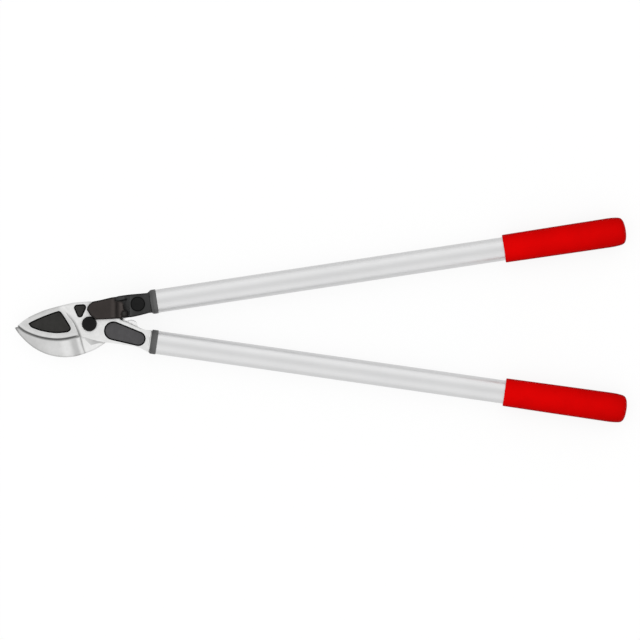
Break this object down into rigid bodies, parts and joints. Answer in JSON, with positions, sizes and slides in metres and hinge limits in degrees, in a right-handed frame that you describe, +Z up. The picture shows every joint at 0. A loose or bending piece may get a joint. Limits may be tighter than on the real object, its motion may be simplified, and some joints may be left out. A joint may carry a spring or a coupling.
{
  "type": "bypass lopper",
  "caption": "Long-handled bypass lopper with a ground blade, hooked counter-blade, lever-assisted head, aluminium tube handles and smooth red grips, lying closed.",
  "frame": {"origin": "on the main pivot's axis, at the flat end of its bolt head, on the surface that the tool lies on", "axes": "+X from the main pivot towards the grips along the closed tool, +Z up, square to the blades, towards the blade's bevelled face"},
  "size_m": [0.841, 0.284, 0.0404],
  "materials": {
    "forged_steel": "satin ground forging",
    "ground_steel": "fine ground, bright",
    "black_steel": "black coated, satin",
    "zinc": "zinc plated",
    "bronze": "plain bronze",
    "black_plastic": "black moulded",
    "grey_plastic": "dark grey moulded",
    "rubber": "black rubber",
    "aluminium": "satin anodised",
    "red_grip": "smooth dipped red"
  },
  "bodies": {
    "blade_arm": {"cutting_blade_arm": "forged_steel", "blade_bush": "bronze", "link_stud": "zinc", "stop_bumper": "rubber", "lower_collar": "grey_plastic", "lower_tube": "aluminium", "lower_tube_pin": "zinc", "lower_tube_plug": "black_plastic", "lower_grip": "red_grip"},
    "hook": {"hook_arm": "ground_steel", "pivot_bolt": "zinc", "locking_segment": "zinc", "locking_screw": "zinc", "pivot_washer": "zinc", "pivot_nut": "zinc", "pivot_cap": "black_plastic", "fork_bush": "bronze"},
    "upper_handle": {"handle_head": "black_steel", "fork_bolt": "zinc", "fork_cap": "black_plastic", "fork_washer": "zinc", "fork_nut": "zinc", "upper_collar": "grey_plastic", "upper_tube": "aluminium", "upper_tube_pin": "zinc", "upper_tube_plug": "black_plastic", "upper_grip": "red_grip"},
    "link": {"lever_link": "black_steel", "link_bush": "bronze", "knuckle_pin": "zinc"}
  },
  "joints": [
    {"name": "jaw_pivot", "type": "hinge", "parent": "blade_arm", "child": "hook", "pos_m": [0, 0, 0.0192], "axis": [0, 0, 1], "range_deg": [0, 38]},
    {"name": "handle_pivot", "type": "hinge", "parent": "hook", "child": "upper_handle", "pos_m": [0.06669, 0.02695, 0.0192], "axis": [0, 0, 1], "range_deg": [0, 34.6]},
    {"name": "link_pivot", "type": "hinge", "parent": "blade_arm", "child": "link", "pos_m": [0.01, 0.0194, 0.0317], "axis": [0, 0, 1], "range_deg": [0, 38.8]}
  ],
  "couplings": [
    {"joint": "handle_pivot", "follows": "jaw_pivot", "ratio": 0.91},
    {"joint": "link_pivot", "follows": "jaw_pivot", "ratio": 1.02}
  ]
}
